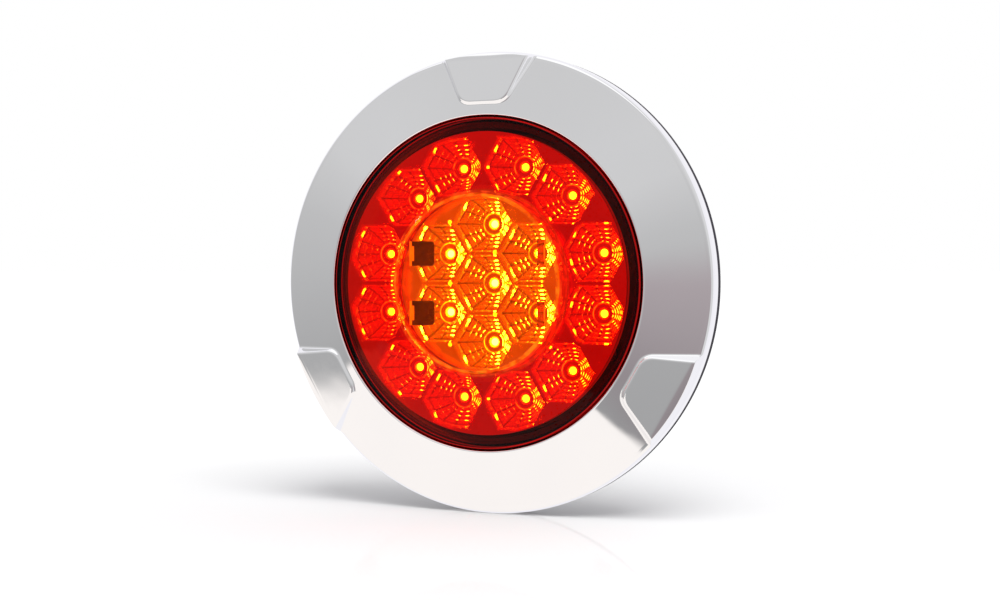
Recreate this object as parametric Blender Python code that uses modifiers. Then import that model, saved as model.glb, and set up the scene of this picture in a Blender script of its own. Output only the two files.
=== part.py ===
"""Round LED tail lamp for a trailer: red stop and tail ring, amber indicator centre, chromed trim ring.

Everything is drawn in the lamp's own frame, in millimetres: x to the right, y up, z forward out of the
mounting panel, with z = 0 on the panel. The empty lamp_axis turns that frame so that the lamp faces -Y.
"""

import math

import bmesh
import bpy
from mathutils import Matrix, Vector

MM = 0.001

# Driving dimensions, in millimetres.
OPENING_R = 59.0  # trim ring's round opening
OPENING_Z = 16.0  # height of the opening's edge above the panel
RING_R = 82.0  # outside of the trim ring
CONE_R, CONE_Z = 80.1, 9.4  # outer end of the ring's conical face
RING_WALL = 1.8
RING_BACK = 0.5  # the ring stops just short of the panel
FIT = 0.3  # gap left between pieces that touch

GASKET_T = 1.5
FLANGE_R, FLANGE_T = 74.0, 2.5
BODY_R = 57.0  # part of the housing that passes through the panel
RIM_R, RIM_Z = 61.0, 11.3  # front rim that carries the lens
CAVITY_R = 55.0
FLOOR_Z, FLOOR_T = -7.5, 2.5

SCREW_CIRCLE_R = 69.0
SCREW_ANGLES = (90, 210, 330)
TAB_ANGLES = (30, 150, 270)

BOARD_R, BOARD_T, BOARD_FRONT = 54.0, 1.6, 2.3
BOARD_SCREW_CIRCLE_R = 49.5

LENS_WALL = 1.6
LENS_CROWN = 1.0  # how far the red lens bulges past a straight cone
LENS_FLANGE_T = 1.6
AMBER_R = 31.4  # amber window in the middle of the lens
AMBER_Z = 22.4  # front of the amber lens at its rim
SHOULDER_R = 58.4  # lens shoulder inside the ring's opening

RED_PLATE_Z, AMBER_PLATE_Z, PLATE_T = 15.5, 15.9, 1.0
PLATE_IN_R, PLATE_OUT_R = 31.9, 53.4
CUP_FLOOR_Z = 4.3
CUP_HOLE_R = 3.5
CUP_WALL = 0.7
CUP_ACROSS = 20.26  # hexagonal mouth, flat to flat
AMBER_SQUEEZE = 0.95  # the amber hexagons are a little narrower than they are tall
PRISM_IN_X, PRISM_OUT_X, PRISM_HALF, PRISM_TIP_Z = 20.0, 26.5, 4.3, 13.9  # the amber lens's four wedges
RED_CIRCLE_R = 42.75
RED_ANGLES = (14.35, 45.9, 73.8)  # in one quarter, mirrored into the others
AMBER_DX, AMBER_DZ = 17.3, 21.05  # column and row spacing of the amber cells

FINE, MEDIUM, COARSE = 64, 40, 20  # steps round a turned piece


# Scene, materials and placing.
def clear_scene():
    for obj in list(bpy.data.objects):
        bpy.data.objects.remove(obj, do_unlink=True)


clear_scene()
PARTS = bpy.data.collections.new("trailer_tail_light")
CUTTERS = bpy.data.collections.new("cutters")
for collection in (PARTS, CUTTERS):
    bpy.context.scene.collection.children.link(collection)
LAMP_AXIS = bpy.data.objects.new("lamp_axis", None)
LAMP_AXIS.rotation_euler = (math.pi / 2, 0, 0)
PARTS.objects.link(LAMP_AXIS)


def material(name, color, roughness, metallic=0.0, alpha=1.0, transmission=0.0):
    made = bpy.data.materials.new(name)
    made.use_nodes = True
    shader = made.node_tree.nodes["Principled BSDF"]
    shader.inputs["Base Color"].default_value = (*color, 1.0)
    shader.inputs["Roughness"].default_value = roughness
    shader.inputs["Metallic"].default_value = metallic
    shader.inputs["Alpha"].default_value = alpha
    shader.inputs["Transmission Weight"].default_value = transmission
    made.diffuse_color = (*color, alpha)
    return made


CHROME = material("chrome", (0.80, 0.80, 0.82), 0.06, metallic=1.0)
RED_LENS = material("red_lens", (0.80, 0.02, 0.01), 0.05, alpha=0.6, transmission=0.6)
AMBER_LENS = material("amber_lens", (1.00, 0.36, 0.02), 0.05, alpha=0.6, transmission=0.6)
MIRROR_RED = material("red_reflector", (0.86, 0.84, 0.84), 0.12, metallic=1.0)
MIRROR_AMBER = material("amber_reflector", (0.88, 0.85, 0.80), 0.12, metallic=1.0)
BLACK_PLASTIC = material("housing_plastic", (0.020, 0.020, 0.022), 0.45)
RUBBER = material("rubber", (0.03, 0.03, 0.03), 0.8)
BOARD_GREEN = material("board", (0.02, 0.10, 0.05), 0.5)
RED_LED = material("red_led", (1.00, 0.10, 0.05), 0.2)
AMBER_LED = material("amber_led", (1.00, 0.65, 0.15), 0.2)
STEEL = material("screw_steel", (0.62, 0.62, 0.64), 0.3, metallic=1.0)
CHIP_BLACK = material("component_black", (0.03, 0.03, 0.035), 0.5)
RESISTOR_GREY = material("component_grey", (0.25, 0.25, 0.27), 0.5)
CAN_ALUMINIUM = material("capacitor_can", (0.70, 0.70, 0.72), 0.35, metallic=1.0)
HEADER_CREAM = material("terminal_plastic", (0.75, 0.72, 0.62), 0.5)


def place(name, mesh, finish, collection=PARTS):
    obj = bpy.data.objects.new(name, mesh)
    collection.objects.link(obj)
    obj.parent = LAMP_AXIS
    if finish is not None:
        mesh.materials.clear()
        mesh.materials.append(finish)
    return obj


def cutter(name, mesh):
    obj = place(name, mesh, None, CUTTERS)
    obj.hide_render = True
    obj.display_type = "WIRE"
    return obj


def boolean(target, tool, operation="DIFFERENCE"):
    made = target.modifiers.new(tool.name, "BOOLEAN")
    made.operation = operation
    made.solver = "EXACT"
    made.object = tool


def settle(obj, sharp_angle=35):
    """Bakes an object's modifiers into its mesh and shades it smooth between its sharp edges."""
    bpy.context.view_layer.update()
    evaluated = obj.evaluated_get(bpy.context.evaluated_depsgraph_get())
    mesh = bpy.data.meshes.new_from_object(evaluated)
    mesh.shade_smooth()
    mesh.set_sharp_from_angle(angle=math.radians(sharp_angle))
    obj.modifiers.clear()
    obj.data = mesh
    return obj


# Shapes.
def arc(center_r, center_z, radius, start_deg, end_deg, count):
    """Points on a round stretch of a turned profile; 0 degrees points outward, 90 degrees forward."""
    angles = [math.radians(start_deg + (end_deg - start_deg) * i / count) for i in range(count + 1)]
    return [(center_r + radius * math.cos(a), center_z + radius * math.sin(a)) for a in angles]


def turned_mesh(name, profile, steps, closed):
    """A profile of (radius, z) points in mm, running down its outer side, turned about the lamp's axis."""
    mesh = bpy.data.meshes.new(name)
    count = len(profile)
    edges = [(i, i + 1) for i in range(count - 1)] + ([(count - 1, 0)] if closed else [])
    mesh.from_pydata([(r * MM, 0, z * MM) for r, z in profile], edges, [])
    helper = bpy.data.objects.new(name, mesh)
    CUTTERS.objects.link(helper)
    screw = helper.modifiers.new("turn", "SCREW")
    screw.steps = screw.render_steps = steps
    screw.use_merge_vertices = True
    screw.merge_threshold = 0.00001
    bpy.context.view_layer.update()
    made = bpy.data.meshes.new_from_object(helper.evaluated_get(bpy.context.evaluated_depsgraph_get()))
    bpy.data.objects.remove(helper)
    return made


def turned(name, profile, finish, steps=FINE, closed=True):
    return place(name, turned_mesh(name, profile, steps, closed), finish)


def finish_mesh(name, bm):
    bmesh.ops.recalc_face_normals(bm, faces=bm.faces)
    mesh = bpy.data.meshes.new(name)
    bm.to_mesh(mesh)
    bm.free()
    return mesh


def rod_mesh(name, radius, low_z, high_z, steps=COARSE):
    bm = bmesh.new()
    middle = Matrix.Translation((0, 0, (low_z + high_z) / 2 * MM))
    bmesh.ops.create_cone(
        bm, cap_ends=True, segments=steps, radius1=radius * MM, radius2=radius * MM,
        depth=(high_z - low_z) * MM, matrix=middle,
    )
    return finish_mesh(name, bm)


def box_mesh(name, low, high, rounding=0.0):
    bm = bmesh.new()
    size = [(b - a) * MM for a, b in zip(low, high)]
    centre = [(a + b) / 2 * MM for a, b in zip(low, high)]
    bmesh.ops.create_cube(bm, size=1.0, matrix=Matrix.Translation(centre) @ Matrix.Diagonal((*size, 1)))
    if rounding:
        bmesh.ops.bevel(bm, geom=bm.edges[:], offset=rounding * MM, segments=1, affect="EDGES")
    return finish_mesh(name, bm)


def on_circle(radius, degrees):
    return radius * math.cos(math.radians(degrees)), radius * math.sin(math.radians(degrees))


def move_to(obj, x, y, turn_deg=0.0):
    obj.location = (x * MM, y * MM, 0)
    obj.rotation_euler = (0, 0, math.radians(turn_deg))
    return obj


def drill(target, name, radius, x, y, low_z, high_z, steps=COARSE):
    tool = move_to(cutter(name, rod_mesh(name, radius, low_z, high_z, steps)), x, y)
    boolean(target, tool)


# Trim ring.
CONE_SLOPE = (OPENING_Z - CONE_Z) / (CONE_R - OPENING_R)
WALL_DROP = RING_WALL * math.hypot(1, CONE_SLOPE)


def cone_z(radius):
    return OPENING_Z - CONE_SLOPE * (radius - OPENING_R)


def trim_ring_profile():
    inner_r = RING_R - RING_WALL
    cone_angle = 90 - math.degrees(math.atan(CONE_SLOPE))
    lip = arc(OPENING_R + 0.6, cone_z(OPENING_R + 0.6) - 0.6, 0.6, 180, 90, 3)
    edge = arc(CONE_R - 0.1, CONE_Z - 2.0, 2.0, cone_angle, 0, 5)
    shoulder_z = cone_z(inner_r - 1.2) - WALL_DROP
    inside = [
        (RING_R, RING_BACK),
        (inner_r, RING_BACK),
        (inner_r, shoulder_z - 1.0),
        (inner_r - 1.2, shoulder_z),
        (OPENING_R, cone_z(OPENING_R) - WALL_DROP),
    ]
    return lip + edge + inside


# Raised pads: (radius, half width, height) of the corners of the top face and of the foot.
PAD_OUTER_R = RING_R - 0.8
PAD_TOP = ((63.6, 8.2, cone_z(63.6) + 1.0), (79.4, 15.6, cone_z(79.4) + 3.2), (84.0, 16.6, 10.6))
PAD_FOOT = ((62.4, 9.4, cone_z(62.4) - 1.0), (79.6, 17.9, cone_z(79.6) - 1.0), (84.0, 18.9, 7.0))


def pad_mesh(name):
    """A raised pad: low on the cone near the opening and proud of it at the rim, with sloped sides."""
    bm = bmesh.new()
    for radius, half_width, z in PAD_TOP + PAD_FOOT:
        for side in (-1, 1):
            bm.verts.new((radius * MM, side * half_width * MM, z * MM))
    bmesh.ops.convex_hull(bm, input=bm.verts[:])
    bmesh.ops.dissolve_limit(bm, angle_limit=0.01, verts=bm.verts[:], edges=bm.edges[:])
    return finish_mesh(name, bm)


def build_trim_ring():
    ring = turned("trim_ring", trim_ring_profile(), CHROME)
    rim = cutter("pad_rim", rod_mesh("pad_rim", PAD_OUTER_R, 0, 2 * OPENING_Z, FINE))
    for number, angle in enumerate(SCREW_ANGLES, 1):
        pad = move_to(cutter(f"pad_{number}", pad_mesh("pad")), 0, 0, angle)
        boolean(pad, rim, "INTERSECT")
        boolean(ring, pad, "UNION")
    for number, angle in enumerate(TAB_ANGLES, 1):
        tab = cutter(f"tab_{number}", box_mesh("tab", (74.5, -6, 0.8), (76.2, 6, 10.2)))
        boolean(ring, move_to(tab, 0, 0, angle), "UNION")
    settle(ring)


# Lenses and their seal.
def dome_z(radius):
    """Outer surface of the red lens between the amber window and the shoulder."""
    share = (radius - AMBER_R) / (SHOULDER_R - 0.8 - AMBER_R)
    return AMBER_Z - (AMBER_Z - OPENING_Z) * share + LENS_CROWN * math.sin(math.pi * share)


def build_lenses():
    flange_front, flange_back = RIM_Z + FIT + LENS_FLANGE_T, RIM_Z + FIT
    rebate_r, ledge_r = AMBER_R + FIT, AMBER_R - 0.7
    ledge_front = AMBER_Z - LENS_WALL - FIT
    shoulder = arc(SHOULDER_R - 0.8, OPENING_Z - 0.8, 0.8, 90, 0, 3)
    inner_r = SHOULDER_R - LENS_WALL
    crown_radii = [rebate_r + (SHOULDER_R - 0.8 - rebate_r) * i / 5 for i in range(5)]
    profile = [
        (ledge_r, ledge_front),
        (rebate_r, ledge_front),
        *[(r, dome_z(r)) for r in crown_radii],
        *shoulder,
        (SHOULDER_R, flange_front),
        (RIM_R - 0.2, flange_front),
        (RIM_R - 0.2, flange_back),
        (inner_r, flange_back),
        (inner_r, OPENING_Z - LENS_WALL),
        *[(r, dome_z(r) - LENS_WALL) for r in crown_radii[:1:-1]],
        (rebate_r + 0.6, ledge_front - 1.6),
        (ledge_r, ledge_front - 1.6),
    ]
    settle(turned("red_lens", profile, RED_LENS))
    crown = 0.5
    amber = [
        (0, AMBER_Z + crown),
        (AMBER_R * 0.5, AMBER_Z + crown * 0.75),
        (AMBER_R - 0.4, AMBER_Z),
        (AMBER_R, AMBER_Z - 0.4),
        (AMBER_R, AMBER_Z - LENS_WALL),
        (0, AMBER_Z - LENS_WALL),
    ]
    lens = turned("amber_lens", amber, AMBER_LENS, MEDIUM, closed=False)
    for side in (-1, 1):
        for row in (-0.5, 0.5):
            name = f"lens_prism_{side}_{row}"
            boolean(lens, cutter(name, prism_mesh(name, side, row * AMBER_DZ)), "UNION")
    settle(lens)
    seal = arc(58.1, RIM_Z - 0.7, 0.7, 0, -300, 5)
    settle(turned("lens_seal", seal, RUBBER, MEDIUM))


def prism_mesh(name, side, y):
    """A wedge on the back of the amber lens: upright towards the middle, sloping up to the lens on the outside."""
    back = AMBER_Z - LENS_WALL
    section = [(PRISM_IN_X, PRISM_TIP_Z), (PRISM_IN_X, back + 0.5), (PRISM_OUT_X, back + 0.5), (PRISM_OUT_X, back)]
    bm = bmesh.new()
    near, far = (
        [bm.verts.new((side * x * MM, (y + end * PRISM_HALF) * MM, z * MM)) for x, z in section] for end in (-1, 1)
    )
    bm.faces.new(near)
    bm.faces.new(far[::-1])
    for i in range(len(section)):
        j = (i + 1) % len(section)
        bm.faces.new((near[i], far[i], far[j], near[j]))
    return finish_mesh(name, bm)


# Reflectors.
def cup_positions_red():
    quarter = [on_circle(RED_CIRCLE_R, angle) for angle in RED_ANGLES]
    places = []
    for sx, sy in ((1, 1), (-1, 1), (-1, -1), (1, -1)):
        ordered = quarter if sx == sy else quarter[::-1]
        places += [(sx * x, sy * y) for x, y in ordered]
    return places


def cup_positions_amber():
    columns = {-1: (0.5, -0.5), 0: (1, 0, -1), 1: (0.5, -0.5)}
    return [(column * AMBER_DX, row * AMBER_DZ) for column, rows in columns.items() for row in rows]


def hexagon_radius(angle, across):
    """Distance to the edge of a hexagon that has corners at its left and right."""
    return across / 2 / math.cos(angle % (math.pi / 3) - math.pi / 6)


def cup_mesh(name, centre, mouth_z, squeeze_x, grow, limits, extra):
    """A closed tapered plug: a hexagonal mouth that turns into a round hole, bowed like a parabola.

    squeeze_x narrows its mouth, grow widens it all round, limits keep it between two circles about the lamp's
    axis, and extra runs it on past the mouth and the floor.
    """
    sides = 12
    stations = (0.0, 0.5, 1.0)
    heights = [mouth_z + (CUP_FLOOR_Z - mouth_z) * t for t in stations]
    sections = list(zip(heights, stations))
    if extra:
        sections = [(mouth_z + extra, 0.0)] + sections + [(CUP_FLOOR_Z - extra, 1.0)]
    bm = bmesh.new()
    rings = []
    for z, t in sections:
        ring = []
        for i in range(sides):
            angle = 2 * math.pi * i / sides
            mouth = hexagon_radius(angle, CUP_ACROSS)
            radius = math.sqrt(CUP_HOLE_R**2 + (mouth**2 - CUP_HOLE_R**2) * (1 - t)) + grow
            squeeze = 1 - (1 - squeeze_x) * (1 - t)
            across, up = radius * squeeze * math.cos(angle), radius * math.sin(angle)
            spot = Vector((centre[0] + across, centre[1] + up))
            low, high = limits
            spot *= min(max(spot.length, low), high) / max(spot.length, 1e-9)
            ring.append(bm.verts.new((spot.x * MM, spot.y * MM, z * MM)))
        rings.append(ring)
    for upper, lower in zip(rings, rings[1:]):
        for i in range(sides):
            j = (i + 1) % sides
            bm.faces.new((upper[i], lower[i], lower[j], upper[j]))
    bm.faces.new(rings[0])
    bm.faces.new(rings[-1][::-1])
    return finish_mesh(name, bm)


def add_cups(reflector, places, plate_z, squeeze_x, wall_limits, cup_limits):
    for number, centre in enumerate(places, 1):
        name = f"{reflector.name}_wall_{number}"
        wall = cup_mesh(name, centre, plate_z - PLATE_T / 2, squeeze_x, CUP_WALL, wall_limits, 0)
        boolean(reflector, cutter(name, wall), "UNION")
    for number, centre in enumerate(places, 1):
        name = f"{reflector.name}_cup_{number}"
        cup = cup_mesh(name, centre, plate_z, squeeze_x, 0, cup_limits, 0.5)
        boolean(reflector, cutter(name, cup))


def plate_profile(inner_r, outer_r, front_z, skirt):
    back = front_z - PLATE_T
    inside_r = outer_r - 0.8
    outer = [(outer_r, front_z), (outer_r, back - skirt), (inside_r, back - skirt), (inside_r, back)]
    if inner_r:
        return [(inner_r, front_z), *outer, (inner_r, back)]
    return [(0, front_z), *outer, (0, back)]


def build_reflectors():
    profile = plate_profile(PLATE_IN_R, PLATE_OUT_R, RED_PLATE_Z, 2.0)
    red = turned("red_reflector", profile, MIRROR_RED, MEDIUM)
    for number, angle in enumerate(TAB_ANGLES, 1):
        post = rod_mesh("post", 2.0, BOARD_FRONT + FIT, RED_PLATE_Z - PLATE_T / 2, 12)
        x, y = on_circle(BOARD_SCREW_CIRCLE_R, angle)
        boolean(red, move_to(cutter(f"red_post_{number}", post), x, y), "UNION")
    wall_limits = (PLATE_IN_R + 0.05, PLATE_OUT_R - 0.1)
    cup_limits = (PLATE_IN_R + 0.6, PLATE_OUT_R - 0.8)
    add_cups(red, cup_positions_red(), RED_PLATE_Z, 1.0, wall_limits, cup_limits)
    settle(red, 25)

    amber_r = AMBER_R - 0.2
    profile = plate_profile(0, amber_r, AMBER_PLATE_Z, 1.2)
    amber = turned("amber_reflector", profile, MIRROR_AMBER, MEDIUM, closed=False)
    limits = ((0, amber_r - 0.1), (0, amber_r - 0.7))
    add_cups(amber, cup_positions_amber(), AMBER_PLATE_Z, AMBER_SQUEEZE, *limits)
    settle(amber, 25)


# Board, LEDs and the parts on the back of the board.
def build_board():
    back = BOARD_FRONT - BOARD_T
    disc = [(0, BOARD_FRONT), (BOARD_R, BOARD_FRONT), (BOARD_R, back), (0, back)]
    board = turned("circuit_board", disc, BOARD_GREEN, MEDIUM, closed=False)
    for number, angle in enumerate(SCREW_ANGLES, 1):
        x, y = on_circle(BOARD_SCREW_CIRCLE_R, angle)
        drill(board, f"board_hole_{number}", 1.75, x, y, -1, 4, 16)
    settle(board)


def led_mesh(name, finish):
    """A square surface-mount LED with a small domed lens."""
    base_z = BOARD_FRONT + FIT
    base = place(name, box_mesh(name, (-2.4, -2.4, base_z), (2.4, 2.4, base_z + 1.1)), None, CUTTERS)
    crown = arc(0, base_z + 1.1, 1.4, 90, 0, 3) + [(1.4, base_z + 0.6)]
    dome = cutter(name + "_dome", turned_mesh(name, crown + [(0, base_z + 0.6)], 12, False))
    boolean(base, dome, "UNION")
    settle(base)
    mesh = base.data
    mesh.materials.clear()
    mesh.materials.append(finish)
    bpy.data.objects.remove(base)
    return mesh


def build_leds():
    for color, finish, places in (
        ("red", RED_LED, cup_positions_red()),
        ("amber", AMBER_LED, cup_positions_amber()),
    ):
        mesh = led_mesh(f"led_{color}", finish)
        for number, (x, y) in enumerate(places, 1):
            move_to(place(f"led_{color}_{number:02d}", mesh, finish), x, y)


def board_part(name, finish, x, y, size, turn_deg=0.0):
    """A rectangular component hanging behind the board; size is width, height and depth."""
    top = BOARD_FRONT - BOARD_T - FIT
    half_w, half_h = size[0] / 2, size[1] / 2
    mesh = box_mesh(name, (-half_w, -half_h, top - size[2]), (half_w, half_h, top), 0.2)
    settle(move_to(place(name, mesh, finish), x, y, turn_deg))


def build_electronics():
    for number in range(6):
        x, y = on_circle(38, 15 + number * 30)
        board_part(f"resistor_{number + 1}", RESISTOR_GREY, x, y, (6.3, 3.2, 0.6), 105 + number * 30)
    for number in range(3):
        board_part(f"input_diode_{number + 1}", CHIP_BLACK, -12 + 12 * number, -8, (4.4, 2.7, 2.2), 90)
    board_part("surge_diode", CHIP_BLACK, -24, 0, (7.0, 6.0, 2.4))
    board_part("driver_chip", CHIP_BLACK, 0, 10, (10.0, 6.4, 1.8))
    board_part("terminal_block", HEADER_CREAM, 20, -20, (16.0, 6.0, 5.6), -40)
    top = BOARD_FRONT - BOARD_T - FIT
    can = [(0, top), (4.0, top), (4.0, top - 5.4), (3.6, top - 5.8), (0, top - 5.8)]
    settle(move_to(turned("capacitor", can, CAN_ALUMINIUM, steps=COARSE, closed=False), 22, 6))


# Housing, gasket and fasteners.
def pan_screw(name, head_r, head_h, shank_r, seat_z, tip_z, x, y):
    """A pan-head screw with a cross recess; its shank is a plain cylinder with a pointed end."""
    crown = seat_z + head_h
    edge_z = crown - head_h * 0.55
    head = [(0, crown), (head_r * 0.6, crown - head_h * 0.1), (head_r, edge_z), (head_r, seat_z)]
    shank = [(shank_r, seat_z), (shank_r, tip_z + shank_r), (shank_r * 0.3, tip_z), (0, tip_z)]
    screw = move_to(turned(name, head + shank, STEEL, steps=12, closed=False), x, y)
    arm, width = head_r * 0.5, head_r * 0.12
    for number, (reach_x, reach_y) in enumerate(((arm, width), (width, arm)), 1):
        slot = box_mesh("slot", (-reach_x, -reach_y, edge_z), (reach_x, reach_y, crown + 1))
        boolean(screw, move_to(cutter(f"{name}_slot_{number}", slot), x, y))
    settle(screw)


GLAND_Y = -24.0
VENT_X = 24.0


def build_housing():
    back = FLOOR_Z - FLOOR_T
    flange_back = GASKET_T + FIT
    flange_front = flange_back + FLANGE_T
    groove_in, groove_out, groove_floor = 57.0, 59.2, RIM_Z - 1.7
    profile = [
        (0, FLOOR_Z),
        (CAVITY_R - 0.8, FLOOR_Z),
        (CAVITY_R, FLOOR_Z + 0.8),
        (CAVITY_R, RIM_Z),
        (groove_in, RIM_Z),
        (groove_in, groove_floor),
        (groove_out, groove_floor),
        (groove_out, RIM_Z),
        (RIM_R, RIM_Z),
        (RIM_R, flange_front),
        (FLANGE_R - 0.5, flange_front),
        (FLANGE_R, flange_front - 0.5),
        (FLANGE_R, flange_back),
        (BODY_R, flange_back),
        (BODY_R, back + 1.5),
        (BODY_R - 1.5, back),
        (0, back),
    ]
    housing = turned("rear_housing", profile, BLACK_PLASTIC, MEDIUM, closed=False)
    board_back = BOARD_FRONT - BOARD_T
    for number, angle in enumerate(SCREW_ANGLES, 1):
        x, y = on_circle(BOARD_SCREW_CIRCLE_R, angle)
        boss = cutter(f"boss_{number}", rod_mesh("boss", 3.6, FLOOR_Z - 1, board_back - FIT, 16))
        boolean(housing, move_to(boss, x, y), "UNION")
    for number, angle in enumerate(SCREW_ANGLES, 1):
        x, y = on_circle(BOARD_SCREW_CIRCLE_R, angle)
        drill(housing, f"pilot_{number}", 1.75, x, y, FLOOR_Z + 1.0, 4, 16)
        x, y = on_circle(SCREW_CIRCLE_R, angle)
        drill(housing, f"flange_hole_{number}", 2.75, x, y, 0, 8, 20)
    drill(housing, "gland_hole", 6.3, 0, GLAND_Y, back - 1, FLOOR_Z + 1)
    drill(housing, "vent_hole", 2.8, VENT_X, 0, back - 1, FLOOR_Z + 1, 20)
    settle(housing)


def build_seals_and_fasteners():
    gasket_profile = [(BODY_R + 0.6, GASKET_T), (FLANGE_R, GASKET_T), (FLANGE_R, 0), (BODY_R + 0.6, 0)]
    gasket = turned("mounting_gasket", gasket_profile, RUBBER, MEDIUM)
    for number, angle in enumerate(SCREW_ANGLES, 1):
        x, y = on_circle(SCREW_CIRCLE_R, angle)
        drill(gasket, f"gasket_hole_{number}", 2.75, x, y, -1, 3, 20)
    settle(gasket)
    flange_front = GASKET_T + FIT + FLANGE_T
    for number, angle in enumerate(SCREW_ANGLES, 1):
        x, y = on_circle(SCREW_CIRCLE_R, angle)
        pan_screw(f"mounting_screw_{number}", 4.2, 2.8, 2.4, flange_front + FIT, -14.0, x, y)
        x, y = on_circle(BOARD_SCREW_CIRCLE_R, angle)
        pan_screw(f"board_screw_{number}", 2.8, 1.6, 1.4, BOARD_FRONT + FIT, -5.8, x, y)


def build_gland_and_vent():
    back = FLOOR_Z - FLOOR_T
    inner_face, outer_face, end, bore = FLOOR_Z + FIT, back - FIT, -24.0, 3.5
    profile = [
        (bore, inner_face + 1.8),
        (7.6, inner_face + 1.8),
        (7.6, inner_face),
        (6.0, inner_face),
        (6.0, outer_face),
        (8.0, outer_face),
        (8.0, outer_face - 2.0),
        (6.6, outer_face - 3.0),
        (5.4, end),
        (bore, end),
    ]
    settle(move_to(turned("cable_gland", profile, RUBBER, steps=COARSE), 0, GLAND_Y))
    vent = [
        (0, inner_face),
        (2.5, inner_face),
        (2.5, outer_face),
        (4.6, outer_face),
        (4.6, outer_face - 1.4),
        (4.0, outer_face - 2.0),
        (0, outer_face - 2.0),
    ]
    settle(move_to(turned("breather_vent", vent, BLACK_PLASTIC, steps=24, closed=False), VENT_X, 0))


build_trim_ring()
build_lenses()
build_reflectors()
build_board()
build_leds()
build_electronics()
build_housing()
build_seals_and_fasteners()
build_gland_and_vent()
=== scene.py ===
"""Looks of the round LED tail lamp: chromed ring, lenses, fluted reflectors, lit LEDs and a white studio.

Shapes are drawn in the lamp's own frame, in millimetres: x to the right, y up, z forward out of the panel,
with z = 0 on the panel. to_world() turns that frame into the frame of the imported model, where the lamp
faces -Y.
"""

import math

import bmesh
import bpy
import numpy as np
from mathutils import Matrix, Vector


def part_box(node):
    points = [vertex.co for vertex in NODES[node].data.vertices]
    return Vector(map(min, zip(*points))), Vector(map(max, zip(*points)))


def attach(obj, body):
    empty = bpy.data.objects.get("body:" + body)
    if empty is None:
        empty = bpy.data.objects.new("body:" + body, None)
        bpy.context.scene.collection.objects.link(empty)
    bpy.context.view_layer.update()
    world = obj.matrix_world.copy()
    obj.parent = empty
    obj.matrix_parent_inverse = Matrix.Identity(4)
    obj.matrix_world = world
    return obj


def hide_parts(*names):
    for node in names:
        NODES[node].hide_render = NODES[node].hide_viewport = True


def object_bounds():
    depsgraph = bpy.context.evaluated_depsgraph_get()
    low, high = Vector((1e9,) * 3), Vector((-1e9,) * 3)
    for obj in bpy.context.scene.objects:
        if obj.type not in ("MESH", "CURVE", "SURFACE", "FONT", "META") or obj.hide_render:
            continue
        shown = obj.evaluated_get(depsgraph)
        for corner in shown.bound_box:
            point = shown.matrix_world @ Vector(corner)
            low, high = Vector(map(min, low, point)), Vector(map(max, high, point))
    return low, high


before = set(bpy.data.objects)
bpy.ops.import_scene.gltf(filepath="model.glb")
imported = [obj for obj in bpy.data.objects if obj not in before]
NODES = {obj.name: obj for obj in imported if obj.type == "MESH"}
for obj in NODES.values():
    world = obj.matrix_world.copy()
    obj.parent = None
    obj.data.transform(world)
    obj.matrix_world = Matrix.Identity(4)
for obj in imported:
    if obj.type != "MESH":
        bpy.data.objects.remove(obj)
CAD_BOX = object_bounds()
MM = 0.001


def extent(node):
    """A CAD node's box in the lamp's frame, in mm: (lowest x, y, z), (highest x, y, z)."""
    low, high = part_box(node)
    return (low.x / MM, low.z / MM, -high.y / MM), (high.x / MM, high.z / MM, -low.y / MM)


def centre(node):
    low, high = extent(node)
    return (low[0] + high[0]) / 2, (low[1] + high[1]) / 2


def names(prefix):
    return sorted(name for name in NODES if name.startswith(prefix))


# Driving dimensions, in millimetres, read from the frame where it has them.
RING_R = extent("trim_ring")[1][0]
RING_BACK = extent("trim_ring")[0][2]
OPENING_R, OPENING_Z = 59.0, 16.0
CONE_R, CONE_Z = RING_R - 1.9, 9.4
RING_WALL = 1.8
EDGE_ROUND = 2.0
CONE_SLOPE = (OPENING_Z - CONE_Z) / (CONE_R - OPENING_R)

AMBER_R = extent("amber_lens")[1][0]
AMBER_BACK = extent("amber_lens")[0][2]
AMBER_FRONT = 22.4
SHOULDER_R = 58.4
SHOULDER_ROUND = 0.8
LENS_WALL, LENS_CROWN = 1.6, 1.0
AMBER_CROWN, AMBER_ROUND = 0.5, 0.5
FLANGE_R = extent("red_lens")[1][0]
FLANGE_BACK = extent("red_lens")[0][2]
FIT = 0.3

RED_PLATE_Z = extent("red_reflector")[1][2]
AMBER_PLATE_Z = extent("amber_reflector")[1][2]
PLATE_OUT_R = extent("red_reflector")[1][0]
PLATE_IN_R = 31.9
AMBER_PLATE_R = extent("amber_reflector")[1][0]
CUP_FLOOR_Z, CUP_HOLE_R = 4.3, 3.5
CUP_ACROSS, AMBER_SQUEEZE = 21.2, 0.95  # the amber cells are squeezed sideways
PRISM_IN_X, PRISM_OUT_X, PRISM_HALF, PRISM_TIP_Z = 19.8, 25.8, 4.3, 13.0
LED_BODY, LED_EDGE = 1.1, 0.18
DOME_BELOW = 0.3  # the LED's ball runs this far into its body
DOME_HOT = 0.5  # share of a dome's height from where it glows at full strength

FLOOR_Z = CAD_BOX[0][2]
TURN_STEPS = 240  # faces round a turned piece


# Meshes.
def to_world(points):
    """Points in the lamp's frame, in mm, as world points in metres."""
    points = np.asarray(points, float)
    return np.stack([points[..., 0], -points[..., 2], points[..., 1]], axis=-1) * MM


def piece(name, vertices, faces, finishes, sharp_deg=30.0):
    """A mesh object from points in the lamp's frame; finishes are its materials."""
    mesh = bpy.data.meshes.new(name)
    mesh.from_pydata(to_world(vertices).reshape(-1, 3).tolist(), [], faces)
    obj = bpy.data.objects.new(name, mesh)
    bpy.context.scene.collection.objects.link(obj)
    for finish in finishes if isinstance(finishes, (list, tuple)) else [finishes]:
        mesh.materials.append(finish)
    smooth(mesh, sharp_deg)
    return obj


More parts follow.
